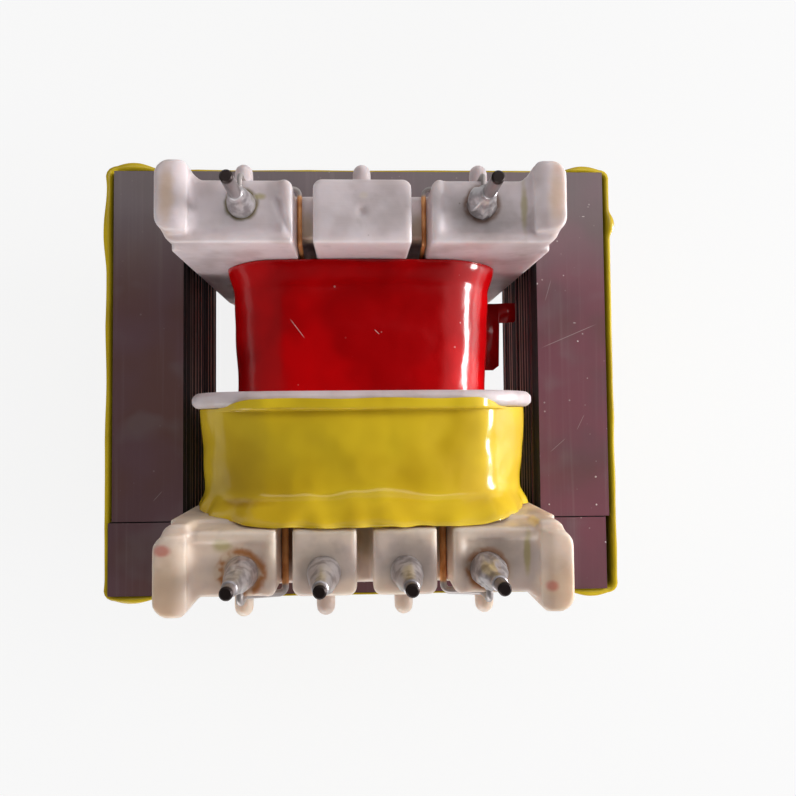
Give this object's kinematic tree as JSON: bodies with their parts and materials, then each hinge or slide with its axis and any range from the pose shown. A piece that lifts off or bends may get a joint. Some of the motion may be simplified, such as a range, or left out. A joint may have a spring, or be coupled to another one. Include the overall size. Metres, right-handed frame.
{
  "type": "pcb transformer",
  "caption": "Low-power mains transformer with pins for a circuit board, EI core and split bobbin with taped windings.",
  "frame": {"origin": "below the middle of the core, on the surface that the back edges of the bobbin's flanges stand on", "axes": "+Z the way the pins point, +X to the right seen from the pins, +Y towards the row of two pins"},
  "size_m": [0.0424, 0.0358, 0.0348],
  "materials": {
    "core_steel": "oxidised and varnished silicon steel sheet",
    "nylon": "natural moulded nylon, slightly glossy, stained by flux",
    "red_tape": "glossy polyester winding tape",
    "yellow_tape": "glossy polyester winding tape",
    "copper": "enamelled copper wire",
    "tinned_pin": "dull tinned wire",
    "solder": "bright solder"
  },
  "bodies": {
    "root": {"core_band": "yellow_tape", "bobbin": "nylon", "primary_winding": "copper", "secondary_winding": "copper", "primary_tape": "red_tape", "secondary_tape": "yellow_tape", "primary_lead_left": "copper", "primary_lead_right": "copper", "secondary_lead_left": "copper", "secondary_lead_right": "copper", "e_sheets_1": "core_steel", "i_sheets_1": "core_steel", "e_sheets_2": "core_steel", "i_sheets_2": "core_steel", "e_sheets_3": "core_steel", "i_sheets_3": "core_steel", "e_sheets_4": "core_steel", "i_sheets_4": "core_steel", "e_sheets_5": "core_steel", "i_sheets_5": "core_steel", "e_sheets_6": "core_steel", "i_sheets_6": "core_steel", "e_sheets_7": "core_steel", "i_sheets_7": "core_steel", "e_sheets_8": "core_steel", "i_sheets_8": "core_steel", "e_sheets_9": "core_steel", "i_sheets_9": "core_steel", "primary_left_pin": "tinned_pin", "primary_left_solder": "solder", "primary_right_pin": "tinned_pin", "primary_right_solder": "solder", "secondary_left_pin": "tinned_pin", "secondary_left_solder": "solder", "secondary_inner_left_pin": "tinned_pin", "secondary_inner_left_solder": "solder", "secondary_inner_right_pin": "tinned_pin", "secondary_inner_right_solder": "solder", "secondary_right_pin": "tinned_pin", "secondary_right_solder": "solder"}
  },
  "joints": []
}
